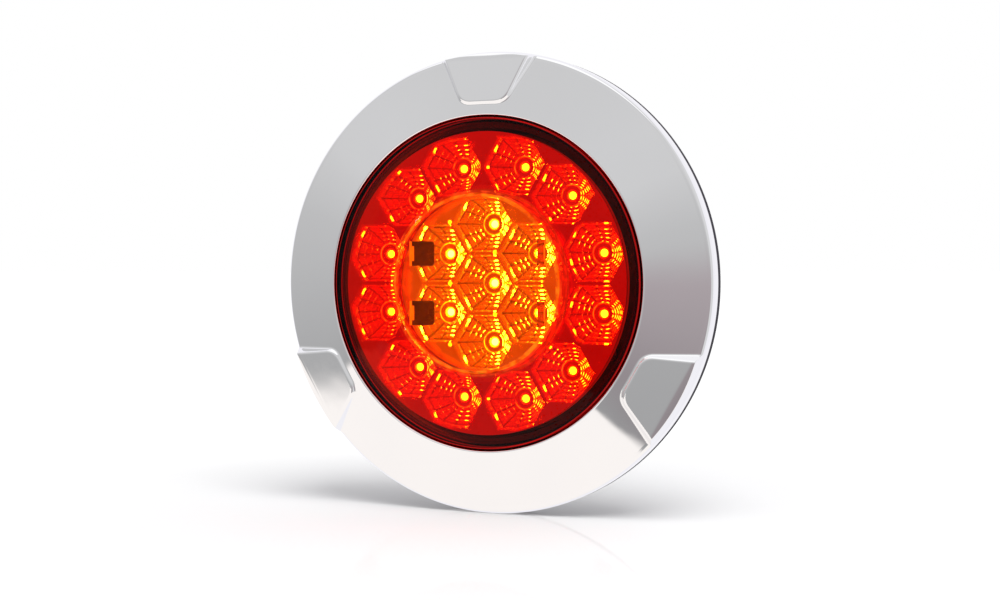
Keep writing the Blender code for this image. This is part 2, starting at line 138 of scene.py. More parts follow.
def smooth(mesh, sharp_deg):
    mesh.shade_smooth()
    mesh.set_sharp_from_angle(angle=math.radians(sharp_deg))


def grid_faces(rows, columns, close_rows=False):
    """Quads over a grid of points stored row by row; each row closes on itself."""
    row = np.arange(rows if close_rows else rows - 1)[:, None]
    column = np.arange(columns)[None, :]
    next_row, next_column = (row + 1) % rows, (column + 1) % columns
    corners = [row * columns + column, row * columns + next_column,
               next_row * columns + next_column, next_row * columns + column]
    return np.stack(np.broadcast_arrays(*corners), axis=-1).reshape(-1, 4).tolist()


def arc(centre_r, centre_z, radius, start_deg, end_deg, count):
    """count steps of an arc, as (radius, z) points of a profile."""
    angles = np.radians(np.linspace(start_deg, end_deg, count + 1))
    return [(centre_r + radius * math.cos(a), centre_z + radius * math.sin(a)) for a in angles]


def turned_points(profile, angles):
    """A profile's points at each angle round the lamp's axis, one row for each point of the profile."""
    profile = np.array(profile, float)
    radius, height = profile[:, :1], profile[:, 1:]
    return np.stack([radius * np.cos(angles), radius * np.sin(angles),
                     np.broadcast_to(height, (len(profile), len(angles)))], axis=-1)


def turned(name, profile, finish):
    """A closed profile of (radius, z) points, running down its outer side, turned about the lamp's axis."""
    angles = np.linspace(0, 2 * np.pi, TURN_STEPS, endpoint=False)
    points = turned_points(profile, angles)
    obj = piece(name, points, grid_faces(len(profile), TURN_STEPS, close_rows=True), finish)
    point_outward(obj)
    return obj


def turned_disc(name, profile, finish):
    """As turned(), for a profile that starts and ends on the axis."""
    angles = np.linspace(0, 2 * np.pi, TURN_STEPS, endpoint=False)
    points = turned_points(profile[1:-1], angles).reshape(-1, 3)
    rows = len(profile) - 2
    faces = grid_faces(rows, TURN_STEPS)
    front, back = len(points), len(points) + 1
    last = (rows - 1) * TURN_STEPS
    for i in range(TURN_STEPS):
        j = (i + 1) % TURN_STEPS
        faces.append((i, front, j))
        faces.append((last + j, back, last + i))
    caps = [(0, 0, profile[0][1]), (0, 0, profile[-1][1])]
    obj = piece(name, np.vstack([points, caps]), faces, finish)
    point_outward(obj)
    return obj


def point_outward(obj):
    bm = bmesh.new()
    bm.from_mesh(obj.data)
    bmesh.ops.recalc_face_normals(bm, faces=bm.faces)
    bm.to_mesh(obj.data)
    bm.free()


def from_bmesh(bm, name, finishes):
    """A mesh object from a bmesh in the lamp's frame; frees the bmesh."""
    mesh = bpy.data.meshes.new(name)
    bm.to_mesh(mesh)
    bm.free()
    mesh.transform(Matrix.Rotation(math.pi / 2, 4, "X") @ Matrix.Scale(MM, 4))
    obj = bpy.data.objects.new(name, mesh)
    bpy.context.scene.collection.objects.link(obj)
    for finish in finishes:
        mesh.materials.append(finish)
    return obj


def add_ball(bm, radius, matrix, segments, material_index):
    """A ball in bm; segments are its meridians and its rows."""
    made = bmesh.ops.create_uvsphere(bm, u_segments=segments[0], v_segments=segments[1], radius=radius,
                                     matrix=matrix)
    for face in {face for vertex in made["verts"] for face in vertex.link_faces}:
        face.material_index = material_index


def soft_min(a, b, width):
    """The lower of two heights, with a fillet where they differ by less than width."""
    h = np.maximum(width - np.abs(a - b), 0) / width
    return np.minimum(a, b) - h * h * width / 4


def soft_max(a, b, width):
    return -soft_min(-a, -b, width)


# Shader building.
class Shader:
    """A short way to write a node tree: each call adds one node and returns its output socket."""

    def __init__(self, name, world=False):
        self.made = bpy.data.worlds.new(name) if world else bpy.data.materials.new(name)
        self.made.use_nodes = True
        self.tree = self.made.node_tree
        self.tree.nodes.clear()
        self.world = world

    def node(self, kind, inputs=None, **settings):
        made = self.tree.nodes.new(kind)
        for key, value in settings.items():
            setattr(made, key, value)
        for key, value in (inputs or {}).items():
            socket = made.inputs[key]
            if isinstance(value, bpy.types.NodeSocket):
                self.tree.links.new(value, socket)
            else:
                socket.default_value = value
        return made

    def math(self, operation, a, b=0.0, clamp=False):
        return self.node("ShaderNodeMath", {0: a, 1: b}, operation=operation, use_clamp=clamp).outputs[0]

    def blend(self, share, a, b, blend_type="MIX"):
        made = self.node("ShaderNodeMix", {"Factor": share}, data_type="RGBA", blend_type=blend_type)
        for socket, value in ((made.inputs[6], a), (made.inputs[7], b)):
            if isinstance(value, bpy.types.NodeSocket):
                self.tree.links.new(value, socket)
            else:
                socket.default_value = color4(value)
        return made.outputs[2]

    def ramp(self, share, stops):
        """stops are (place, color) pairs."""
        made = self.node("ShaderNodeValToRGB", {"Fac": share})
        elements = made.color_ramp.elements
        while len(elements) < len(stops):
            elements.new(0.5)
        for element, (place, color) in zip(elements, stops):
            element.position = place
            element.color = color4(color)
        return made.outputs[0]

    def span(self, value, low, high, to_low=0.0, to_high=1.0, smooth=True):
        """A value's way from low to high, spread from to_low to to_high and held at both ends."""
        kind = "SMOOTHSTEP" if smooth else "LINEAR"
        inputs = {0: value, 1: low, 2: high, 3: to_low, 4: to_high}
        return self.node("ShaderNodeMapRange", inputs, interpolation_type=kind, clamp=True).outputs[0]

    def band(self, value, a, b, c, d):
        """1 between b and c, and 0 before a and past d."""
        return self.math("SUBTRACT", self.span(value, a, b), self.span(value, c, d))

    def noise(self, scale, detail=2.0, roughness=0.5, vector=None):
        inputs = {"Scale": scale, "Detail": detail, "Roughness": roughness}
        inputs["Vector"] = vector or self.position()
        return self.node("ShaderNodeTexNoise", inputs).outputs[0]

    def position(self):
        return self.node("ShaderNodeTexCoord").outputs["Object"]

    def axes(self, vector=None):
        return self.node("ShaderNodeSeparateXYZ", {0: vector or self.position()}).outputs

    def axis_distance(self):
        """Distance from the lamp's axis, in metres."""
        x, _, z = self.axes()
        squares = self.math("ADD", self.math("MULTIPLY", x, x), self.math("MULTIPLY", z, z))
        return self.math("SQRT", squares)

    def bump(self, height, strength, distance):
        inputs = {"Height": height, "Strength": strength, "Distance": distance}
        return self.node("ShaderNodeBump", inputs).outputs[0]

    def principled(self, **inputs):
        named = {key.replace("_", " "): value for key, value in inputs.items()}
        for key in ("Base Color", "Emission Color", "Specular Tint"):
            if key in named and not isinstance(named[key], bpy.types.NodeSocket):
                named[key] = color4(named[key])
        return self.node("ShaderNodeBsdfPrincipled", named).outputs[0]

    def finish(self, surface):
        kind = "ShaderNodeOutputWorld" if self.world else "ShaderNodeOutputMaterial"
        self.node(kind, {"Surface": surface})
        return self.made


def color4(color):
    if isinstance(color, (int, float)):
        color = (color, color, color)
    return (*color[:3], 1.0)


def chrome():
    """Bright plating on moulded plastic: nearly a mirror, with a faint orange-peel wave.

    At the ring's back edge the chrome gives way to a dark, matt surface: painted shade.
    """
    s = Shader("chrome_plating")
    wave = s.bump(s.noise(90, 1.0), 0.03, 0.0006)
    tint = s.blend(s.noise(30, 2.0), (0.86, 0.86, 0.88), (0.90, 0.90, 0.91))
    roughness = s.span(s.noise(400, 3.0), 0.3, 0.7, 0.03, 0.05)
    plated = s.principled(Base_Color=tint, Metallic=1.0, Roughness=roughness, Normal=wave)
    # Painted shade: the ring's back edge is dark and matt instead of chromed.
    bare = s.principled(Base_Color=(0.010, 0.008, 0.014), Roughness=0.6, Specular_IOR_Level=0.1)
    back = s.span(s.axes()[1], *(-z * MM for z in BACK_SHADE_STOPS))
    return s.finish(s.node("ShaderNodeMixShader", {0: back, 1: plated, 2: bare}).outputs[0])


def tinted(name, tint, edge_shade_tint, edge, glow):
    """Clear coloured plastic; each face a ray crosses tints it once.

    edge gives two radii in mm between which the tint deepens: painted shade at the lens's edge. The joint
    between the lenses and the red lens's shoulder get a painted glow for the LEDs' light they catch; glow is
    its colour, which turns red past the joint.
    """
    s = Shader(name)
    radius = s.math("DIVIDE", s.axis_distance(), MM)
    # Painted shade: between the edge radii the tint deepens towards the second tint.
    share = s.span(radius, *edge)
    clear = s.node("ShaderNodeBsdfTransparent", {"Color": s.blend(share, tint, edge_shade_tint)}).outputs[0]
    ripple = s.bump(s.noise(60, 1.0), 0.02, 0.0005)
    gloss = s.node("ShaderNodeBsdfGlossy",
                   {"Color": color4(1.0), "Roughness": 0.03, "Normal": ripple}).outputs[0]
    fresnel = s.node("ShaderNodeFresnel", {"IOR": 1.49, "Normal": ripple}).outputs[0]
    shine = s.math("MULTIPLY", fresnel, 0.15)
    body = s.node("ShaderNodeMixShader", {0: shine, 1: clear, 2: gloss}).outputs[0]
    # Painted light: the joint between the lenses and the red lens's shoulder glow for the LEDs' light they
    # catch.
    joint = s.band(radius, 30.1, 30.6, 32.2, 32.7)
    strength = s.math("MULTIPLY", joint, s.span(s.noise(260, 2.0), 0.35, 0.75, 0.05, 0.5))
    shoulder = s.band(radius, 57.7, 58.0, 58.2, 58.4)
    strength = s.math("ADD", strength, s.math("MULTIPLY", shoulder, 0.35))
    color = s.blend(s.span(radius, 45.0, 50.0), glow, (1.0, 0.012, 0.010))
    light = s.node("ShaderNodeEmission", {"Color": color, "Strength": strength}).outputs[0]
    return s.finish(s.node("ShaderNodeAddShader", {0: body, 1: light}).outputs[0])


def plating(name, metal_color, roughness, glow, strength, plate_z, plate_share):
    """Vacuum plating inside a reflector, with a painted glow for the LEDs' light scattered in its cups.

    The flat plate gets plate_share of that painted glow. The grooves between pillows get little of it, and
    are painted darker as painted shade.
    """
    s = Shader(name)
    patchy = s.noise(350, 3.0)
    groove_shade = s.node("ShaderNodeAttribute", attribute_name="groove_shade").outputs["Fac"]
    shade = s.blend(patchy, metal_color, tuple(0.86 * c for c in metal_color))
    # Painted shade: the plating is darker in the grooves between pillows.
    shade = s.blend(groove_shade, shade, tuple(0.4 * c for c in metal_color))
    rough = s.span(patchy, 0.2, 0.8, 0.8 * roughness, 1.2 * roughness)
    shallow, deep = 0.1, 1.6  # depths below the plate between which the painted glow builds up, in mm
    # Painted glow: weaker on the plate, building up with depth, and less in the grooves between pillows.
    depth = s.span(s.axes()[1], -(plate_z - shallow) * MM, -(plate_z - deep) * MM, plate_share, 1.0)
    depth = s.math("MULTIPLY", depth, s.math("SUBTRACT", 1.0, groove_shade))
    uneven = s.span(s.noise(120, 2.0), 0.25, 0.75, strength * 0.8, strength * 1.15)
    return s.finish(s.principled(Base_Color=shade, Metallic=1.0, Roughness=rough, Emission_Color=glow,
                                 Emission_Strength=s.math("MULTIPLY", depth, uneven)))


def lit_plastic(name, color, strength, weakest=0.8):
    """Clear plastic or plating with a painted glow for the light of the LED beside it; weakest is its dimmest
    share.
    """
    s = Shader(name)
    uneven = s.span(s.noise(500, 2.0), 0.35, 0.65, strength * weakest, strength * 1.2)
    return s.finish(s.principled(Base_Color=color, Roughness=0.2, Emission_Color=color,
                                 Emission_Strength=uneven))


def prism_face():
    """The sloping face of a lens prism: dark, as painted shade with a faint painted glow, when looked through
    head-on; a mirror at a shallow angle.
    """
    s = Shader("prism_face")
    facing = s.node("ShaderNodeLayerWeight", {"Blend": 0.5}).outputs["Facing"]
    # Painted shade with a faint painted glow, for the face seen head-on.
    dark = s.principled(Base_Color=(0.04, 0.02, 0.01), Roughness=0.3, Emission_Color=(1.0, 0.42, 0.10),
                        Emission_Strength=s.span(s.noise(500, 3.0), 0.3, 0.7, 0.04, 0.09))
    mirror = s.node("ShaderNodeBsdfGlossy", {"Color": (1.0, 0.7, 0.4, 1.0), "Roughness": 0.08}).outputs[0]
    shallow = s.span(facing, 0.5, 0.7)
    return s.finish(s.node("ShaderNodeMixShader", {0: shallow, 1: dark, 2: mirror}).outputs[0])


def led_dome(name, node, core, rim, core_strength, rim_strength):
    """A lit LED's lens: hottest over its chip, cooler towards its foot. node is any LED of that kind."""
    s = Shader(name)
    low, high = extent(node)
    foot, tip = low[2] + LED_BODY, high[2]
    cool, hot = -foot * MM, -(foot + DOME_HOT * (tip - foot)) * MM
    height = s.axes()[1]
    color = s.blend(s.span(height, hot, cool), core, rim)
    strength = s.span(height, hot, cool, core_strength, rim_strength)
    return s.finish(s.principled(Base_Color=rim, Roughness=0.15, Emission_Color=color,
                                 Emission_Strength=strength))


def moulded(name, color, roughness=0.45, grain=900, depth=0.25):
    """Moulded plastic or rubber with a fine spark-eroded grain and uneven gloss."""
    s = Shader(name)
    fine, broad = s.noise(grain, 4.0, 0.6), s.noise(40, 3.0)
    shade = s.blend(broad, tuple(0.8 * c for c in color), tuple(min(1.0, 1.25 * c) for c in color))
    rough = s.span(broad, 0.3, 0.7, roughness - 0.06, roughness + 0.08)
    return s.finish(s.principled(Base_Color=shade, Roughness=rough, Normal=s.bump(fine, depth, 0.0002)))


def metal(name, color, roughness, stretch=(1, 1, 1)):
    """Turned or pressed metal with fine streaks along one way."""
    s = Shader(name)
    scaled = s.node("ShaderNodeMapping", {"Vector": s.position(), "Scale": stretch}).outputs[0]
    streaks = s.noise(700, 3.0, vector=scaled)
    shade = s.blend(streaks, tuple(0.78 * c for c in color), color)
    rough = s.span(streaks, 0.3, 0.7, roughness - 0.05, roughness + 0.08)
    return s.finish(s.principled(Base_Color=shade, Metallic=1.0, Roughness=rough,
                                 Normal=s.bump(streaks, 0.12, 0.0002)))


def solder_mask():
    """Printed board: green lacquer with darker copper areas under it and a woven glass grain."""
    s = Shader("board_lacquer")
    cells = s.node("ShaderNodeTexVoronoi", {"Vector": s.position(), "Scale": 160.0},
                   distance="CHEBYCHEV").outputs[0]
    copper = s.span(cells, 0.42, 0.46)
    shade = s.blend(copper, (0.015, 0.11, 0.05), (0.03, 0.19, 0.08))
    grain = s.bump(s.noise(1500), 0.2, 0.0001)
    return s.finish(s.principled(Base_Color=shade, Roughness=0.32, Normal=grain))


BACK_SHADE_STOPS = 4.0, 3.7  # heights on the trim ring between which its chrome turns to painted shade, in mm
SHOULDER_EDGE, JOINT_EDGE = (56.6, 57.4), (30.0, 31.2)  # radii where a lens's tint deepens as painted shade, in mm
# Colour of the painted glow at the joint between the lenses.
JOINT_PAINTED_GLOW = (1.0, 0.30, 0.01)

CHROME = chrome()
# A lens's second tint is its painted shade at the edge; its last colour is its painted glow.
RED_TINT = tinted("red_lens_plastic", (0.97, 0.16, 0.02), (0.45, 0.03, 0.02), SHOULDER_EDGE,
                  (1.0, 0.10, 0.01))
AMBER_TINT = tinted("amber_lens_plastic", (1.0, 0.50, 0.06), (1.0, 0.42, 0.05), JOINT_EDGE, JOINT_PAINTED_GLOW)
RED_PLATING_GLOW = plating("red_cup_plating_glow", (0.92, 0.90, 0.90), 0.10, (1.0, 0.20, 0.05), 0.30,
                      RED_PLATE_Z, 0.34)
AMBER_PLATING_GLOW = plating("amber_cup_plating_glow", (0.92, 0.90, 0.88), 0.13, (1.0, 0.38, 0.05), 0.28,
                        AMBER_PLATE_Z, 1.0)
# Painted light: the floors round the LEDs and the prisms' roots glow, the collars and pips carry painted
# glints of the LEDs.
RED_HALO = lit_plastic("red_cup_floor_glow", (1.0, 0.25, 0.10), 0.6)
RED_COLLAR_GLINT = lit_plastic("red_cup_collar_glint", (1.0, 0.90, 0.10), 5.0, 0.0)
AMBER_HALO = lit_plastic("amber_cup_floor_glow", (1.0, 0.70, 0.10), 2.0)
AMBER_COLLAR_GLINT = lit_plastic("amber_cup_collar_glint", (1.0, 0.85, 0.10), 3.0, 0.1)
AMBER_PIP_GLINT = lit_plastic("amber_pip_glint", (1.0, 0.95, 0.40), 5.0)
PRISM_FACE = prism_face()
PRISM_ROOT_GLOW = lit_plastic("prism_root_glow", (1.0, 0.65, 0.20), 0.6)
PRISM_CLEAR = tinted("prism_clear", (1.0, 0.92, 0.75), (1.0, 0.92, 0.75), JOINT_EDGE, JOINT_PAINTED_GLOW)
RED_DOME = led_dome("red_led_dome", "led_red_01", (1.0, 0.80, 0.5), (1.0, 0.40, 0.05), 140.0, 25.0)
AMBER_DOME = led_dome("amber_led_dome", "led_amber_01", (1.0, 0.95, 0.8), (1.0, 0.75, 0.10), 150.0, 25.0)
LED_CERAMIC = moulded("led_ceramic", (0.62, 0.58, 0.50), 0.4, 1500, 0.1)
HOUSING = moulded("housing_black", (0.018, 0.018, 0.020), 0.42)
RUBBER = moulded("gasket_rubber", (0.022, 0.022, 0.022), 0.75, 1400, 0.35)
CHIP = moulded("chip_epoxy", (0.025, 0.025, 0.028), 0.5, 2000, 0.2)
RESISTOR = moulded("resistor_ceramic", (0.22, 0.22, 0.24), 0.45, 1800, 0.15)
CREAM = moulded("header_cream", (0.70, 0.66, 0.55), 0.45, 1200, 0.15)
STEEL = metal("screw_steel", (0.62, 0.62, 0.64), 0.28, (1, 6, 1))
CAN = metal("capacitor_can", (0.72, 0.72, 0.74), 0.32, (1, 8, 1))


# Trim ring.
PAD_ANGLES = (90, 210, 330)
PAD_REACH = math.radians(17)
PAD_IN_R, PAD_IN_HALF, PAD_IN_RISE = 63.6, 8.2, 1.0
PAD_OUT_R, PAD_OUT_HALF, PAD_OUT_RISE = 79.4, 15.6, 3.2
PAD_WALL_R = RING_R - 0.9
PAD_DRAFT = 0.55  # sideways run of a pad's wall for each mm of its height
PAD_CORNER, PAD_EDGE = 3.4, 0.9  # fillets: between the inner end and the sides, and along the top edges
PAD_FALL, PAD_WALL_FALL = 0.48, 7.0  # slopes past PAD_OUT_R, and of the outer wall past PAD_WALL_R


def cone_z(radius):
    return OPENING_Z - CONE_SLOPE * (radius - OPENING_R)


def ring_angles():
    """Angles round the ring, close together across the pads and wider between them."""
    angles = []
    for pad in PAD_ANGLES:
        middle = math.radians(pad)
        angles += list(np.linspace(middle - PAD_REACH, middle + PAD_REACH, 170, endpoint=False))
        plain = 2 * np.pi / 3 - 2 * PAD_REACH
        angles += list(np.linspace(middle + PAD_REACH, middle + PAD_REACH + plain, 90, endpoint=False))
    return np.array(angles)


def pad_surface(radius, angles):
    """Height of the raised pads over (radius, angle); far below the cone away from them."""
    third = 2 * np.pi / 3
    turn = (angles - math.radians(PAD_ANGLES[0]) + third / 2) % third - third / 2
    along, across = radius * np.cos(turn), np.abs(radius * np.sin(turn))
    run = math.hypot(PAD_OUT_R - PAD_IN_R, PAD_OUT_HALF - PAD_IN_HALF)
    side_x, side_y = (PAD_OUT_R - PAD_IN_R) / run, (PAD_OUT_HALF - PAD_IN_HALF) / run
    past_side = -side_y * (along - PAD_IN_R) + side_x * (across - PAD_IN_HALF)
    past_inner = PAD_IN_R - along
    outside = soft_max(past_side, past_inner, PAD_CORNER)
    top_in, top_out = cone_z(PAD_IN_R) + PAD_IN_RISE, cone_z(PAD_OUT_R) + PAD_OUT_RISE
    top = top_in + (along - PAD_IN_R) * (top_out - top_in) / (PAD_OUT_R - PAD_IN_R)
    top = soft_min(top, top_out - (along - PAD_OUT_R) * PAD_FALL, 0.4)
    top = soft_min(top, top - outside / PAD_DRAFT, PAD_EDGE)
    return soft_min(top, top_out - 0.7 - (radius - PAD_WALL_R) * PAD_WALL_FALL, PAD_EDGE)


def build_trim_ring():
    edge_z = CONE_Z - EDGE_ROUND
    cone_deg = 90 - math.degrees(math.atan(CONE_SLOPE))
    inner_r = RING_R - RING_WALL
    drop = RING_WALL * math.hypot(1, CONE_SLOPE)
    lip_z = cone_z(OPENING_R + 0.6) - 0.6
    lip = arc(OPENING_R + 0.6, lip_z, 0.6, 180, 90, 6)
    face = [(r, cone_z(r)) for r in np.arange(OPENING_R + 1.0, CONE_R + 0.2, 0.34)]
    edge = arc(RING_R - EDGE_ROUND, edge_z, EDGE_ROUND, cone_deg, 0, 26)
    foot = arc(RING_R - 0.35, RING_BACK + 0.35, 0.35, 0, -90, 4)
    inner_z = cone_z(inner_r - 1.2) - drop
    inside = [(inner_r, RING_BACK), (inner_r, inner_z - 1.0),
              *arc(inner_r - 1.0, inner_z - 1.0, 1.0, 20, 80, 3),
              *((r, cone_z(r) - drop) for r in (inner_r - 1.6, OPENING_R))]
    profile = lip + face + edge + [(RING_R, edge_z - 1.5)] + foot + inside
    angles = ring_angles()
    points = turned_points(profile, angles)
    fronts = range(len(lip), len(lip) + len(face) + len(edge) - 1)
    for row in fronts:
        radius, height = profile[row]
        points[row, :, 2] = soft_max(np.full(len(angles), height), pad_surface(radius, angles), 0.8)
    faces = grid_faces(len(profile), len(angles), close_rows=True)
    ring = piece("trim_ring_chromed", points, faces, CHROME, 50)
    point_outward(ring)
    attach(ring, "ring")
    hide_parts("trim_ring")


# Lenses.
def build_lenses():
    rebate_r, ledge_r = AMBER_R + FIT, AMBER_R - 0.7
    ledge_front = AMBER_BACK - FIT
    wall_r = SHOULDER_R - LENS_WALL
    flange_front = FLANGE_BACK + LENS_WALL
    crown = [(rebate_r + (SHOULDER_R - SHOULDER_ROUND - rebate_r) * share,
              AMBER_FRONT - (AMBER_FRONT - OPENING_Z) * share + LENS_CROWN * math.sin(math.pi * share))
             for share in np.linspace(0, 1, 20)]
    shoulder = arc(SHOULDER_R - SHOULDER_ROUND, OPENING_Z - SHOULDER_ROUND, SHOULDER_ROUND, 84, 0, 5)
    under = [(r, z - LENS_WALL) for r, z in reversed(crown[2:-2])]
    profile = [(ledge_r, ledge_front), (rebate_r, ledge_front), *crown, *shoulder,
               (SHOULDER_R, flange_front), (FLANGE_R, flange_front), (FLANGE_R, FLANGE_BACK),
               (wall_r, FLANGE_BACK), (wall_r, OPENING_Z - LENS_WALL), *under,
               (rebate_r + 0.6, ledge_front - LENS_WALL), (ledge_r, ledge_front - LENS_WALL)]
    red = turned("red_lens_clear", profile, RED_TINT)
    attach(red, "lamp")
    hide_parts("red_lens")

    front = [(r, AMBER_FRONT + AMBER_CROWN * (1 - (r / AMBER_R) ** 2))
             for r in np.linspace(0, AMBER_R - AMBER_ROUND, 10)]
    rim = arc(AMBER_R - AMBER_ROUND, AMBER_FRONT - AMBER_ROUND, AMBER_ROUND, 90, 0, 4)
    back = AMBER_FRONT - LENS_WALL
    amber = turned_disc("amber_lens_clear", [*front, *rim[1:], (AMBER_R, back), (0, back)], AMBER_TINT)
    rows = sorted({round(y, 2) for x, y in map(centre, names("led_amber_")) if abs(x) > 10})
    add_prisms(amber, [(side, y) for side in (-1, 1) for y in rows], back)
    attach(amber, "lamp")
    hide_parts("amber_lens")


def add_prisms(lens, places, back):
    """The wedges on the back of the amber lens, at (side, y), each with a sloping face from tip to root.

    The upright inner face has rounded corners at the tip, and that rounding runs back along x.
    """
    for finish in (PRISM_FACE, PRISM_ROOT_GLOW, PRISM_CLEAR):
        lens.data.materials.append(finish)
    bm = bmesh.new()
    bm.from_mesh(lens.data)
    corner, rows, columns = 1.5, 16, 10
    for side, middle in places:
        slope, upright = [], []
        for x in PRISM_IN_X + (PRISM_OUT_X - PRISM_IN_X) * np.linspace(0, 1, rows + 1) ** 1.5:
            z = PRISM_TIP_Z + (back - PRISM_TIP_Z) * (x - PRISM_IN_X) / (PRISM_OUT_X - PRISM_IN_X)
            reach = min(z - PRISM_TIP_Z, corner)
            half = PRISM_HALF - corner + math.sqrt(corner**2 - (corner - reach) ** 2)
            ys = [middle + half * (2 * i / columns - 1) for i in range(columns + 1)]
            slope.append([bm.verts.new((side * x * MM, -z * MM, y * MM)) for y in ys])
            ends = ys[0], ys[-1]
            upright.append([bm.verts.new((side * PRISM_IN_X * MM, -z * MM, y * MM)) for y in ends])
        for i in range(rows):
            for j in range(columns):
                face = bm.faces.new((slope[i][j], slope[i][j + 1], slope[i + 1][j + 1], slope[i + 1][j]))
                spot = face.calc_center_median() / MM
                # Near the lens the sloping face takes the root's painted glow, elsewhere the face's painted
                # shade.
                root = 0.2 + 1.0 * math.cos(math.pi * (spot.z - middle) / PRISM_HALF / 2)
                face.material_index = 2 if PRISM_OUT_X - abs(spot.x) < root else 1
            for j, end in ((0, 0), (columns, 1)):
                rim = slope[i][j], slope[i + 1][j], upright[i + 1][end], upright[i][end]
                bm.faces.new(rim).material_index = 1
            bm.faces.new((*upright[i], *reversed(upright[i + 1]))).material_index = 3
    bm.to_mesh(lens.data)
    bm.free()


# Reflectors.
LAND = 0.22  # half the width of the ridge left between two cups
PLATE_SKIRT, PLATE_WALL = 3.0, 0.45
FLUTES, PILLOWS = 12, 4
FLUTE_STEPS, PILLOW_STEPS = 8, 7
LIP_HEIGHT = 3.5  # the flat-sided band round a cup's mouth
CUP_FOOT_R, BEAD_HEIGHT = 4.15, 0.3  # the pillows end on a rounded bead that runs in to the hole
BEAD_RINGS, COLLAR_RINGS = 5, (1, 2)  # the bead's rings of faces, and those on its crest, which carry a painted glint of the LED
FLOOR_RADII = (2.7, 2.1, 1.6)
PIP_R, PIP_SHIFT = 0.9, 12.3  # the studs beside the amber cups, which carry a painted glint, and how far to the left of their LEDs
# For each reflector in degrees: a pillow's slope along and across its flute, and the lip's draft.
RED_SLOPES, AMBER_SLOPES = (12.7, 14.0, 14.3), (9.7, 13.5, 11.2)


def hexagon_edge(angles, squeeze):
    """Radius and angle of points on a hexagon with corners at its left and right, squeezed sideways."""
    edge = CUP_ACROSS / 2 / np.cos(angles % (np.pi / 3) - np.pi / 6)
    x, y = edge * np.cos(angles) * squeeze, edge * np.sin(angles)
    return np.hypot(x, y), np.arctan2(y, x)


def circle_reach(spot, directions, radius):
    """How far each direction runs from spot to a circle about the lamp's axis."""
    along = directions @ spot
    return -along + np.sqrt(np.maximum(along * along + radius**2 - spot @ spot, 0))


def mouth_radius(spot, others, angles, squeeze, inner_r, outer_r):
    """A cup's mouth: its hexagon, cut back at its neighbours and at the plate's edges."""
    reach, turn = hexagon_edge(angles, squeeze)
    order = np.argsort(turn)
    reach = np.interp(angles, turn[order], reach[order], period=2 * np.pi)
    directions = np.stack([np.cos(angles), np.sin(angles)], axis=-1)
    for other in others:
        gap = other - spot
        length = np.linalg.norm(gap)
        facing = directions @ (gap / length)
        limit = np.where(facing > 1e-3, (length / 2 - LAND) / np.maximum(facing, 1e-3), np.inf)
        reach = np.minimum(reach, limit)
    reach = np.minimum(reach, circle_reach(spot, directions, outer_r))
    if inner_r:
        along = directions @ spot
        inside = along * along - (spot @ spot - inner_r**2)
        hit = np.where((inside > 0) & (along < 0), -along - np.sqrt(np.maximum(inside, 0)), np.inf)
        reach = np.minimum(reach, hit)
    return reach


def polar(spot, radius, angles, height):
    """Points round spot, in the lamp's frame."""
    radius, height = np.broadcast_arrays(radius, height)
    return np.stack([spot[0] + radius * np.cos(angles), spot[1] + radius * np.sin(angles), height], axis=-1)


def cup_points(spot, mouth, angles, plate_z, slopes):
    """A cup on a polar grid, mouth first: smooth lip, flutes of small bulging pillows, bead and floor.

    slopes are as in RED_SLOPES. Also returns each point's painted shade for the grooves between pillows: how
    deep in one it lies (0 to 1).
    """
    slope_along, slope_across, draft = (math.tan(math.radians(slope)) for slope in slopes)
    lip_run = LIP_HEIGHT * draft
    foot, foot_z = mouth - lip_run, plate_z - LIP_HEIGHT
    share = np.linspace(1, 0, PILLOWS * PILLOW_STEPS + 1)[:, None]
    radius = CUP_FOOT_R + (foot - CUP_FOOT_R) * share
    spread = foot**2 - CUP_FOOT_R**2
    height = CUP_FLOOR_Z + (foot_z - CUP_FLOOR_Z) * (radius**2 - CUP_FOOT_R**2) / spread
    steep = 2 * radius * (foot_z - CUP_FLOOR_Z) / spread
    norm = np.sqrt(1 + steep**2)
    across = (angles * FLUTES / (2 * np.pi)) % 1.0 * 2 - 1
    along = (share * PILLOWS) % 1.0 * 2 - 1
    half_width = np.pi * radius / FLUTES
    half_length = (foot - CUP_FOOT_R) * norm / PILLOWS / 2
    bulge = slope_across * half_width * (1 - across**2) + slope_along * half_length * (1 - along**2)
    bulge = bulge / 2 * ((share > 0) & (share < 1))
    wall = polar(spot, radius - bulge * steep / norm, angles, height + bulge / norm)
    lip = [polar(spot, mouth - lip_run * t, angles, plate_z - LIP_HEIGHT * t) for t in (0, 0.5)]
    waist = 1 - 0.35 * np.abs(across) ** 3
    bead = [polar(spot, CUP_FOOT_R + (CUP_HOLE_R - CUP_FOOT_R) * t, angles,
                  CUP_FLOOR_Z + BEAD_HEIGHT * waist * math.sin(math.pi * t))
            for t in np.linspace(0, 1, BEAD_RINGS + 1)[1:]]
    floor = [polar(spot, r, angles, np.full_like(mouth, CUP_FLOOR_Z - 0.05)) for r in FLOOR_RADII]
    # Painted shade for the grooves between pillows: strongest where flutes and pillows meet, fading out
    # towards the bead.
    groove_shade = 0.75 * np.broadcast_to(np.abs(across) ** 6, wall.shape[:2]) + 0.3 * np.abs(along) ** 8
    groove_shade = np.clip(groove_shade, 0, 0.85) * np.clip(share * 6, 0, 1)
    bare = np.zeros((1, len(angles)))
    groove_shades = np.concatenate([*[bare] * len(lip), groove_shade, *[bare] * (len(bead) + len(floor))])
    return np.concatenate([np.array(lip), wall, np.array(bead), np.array(floor)]), groove_shades


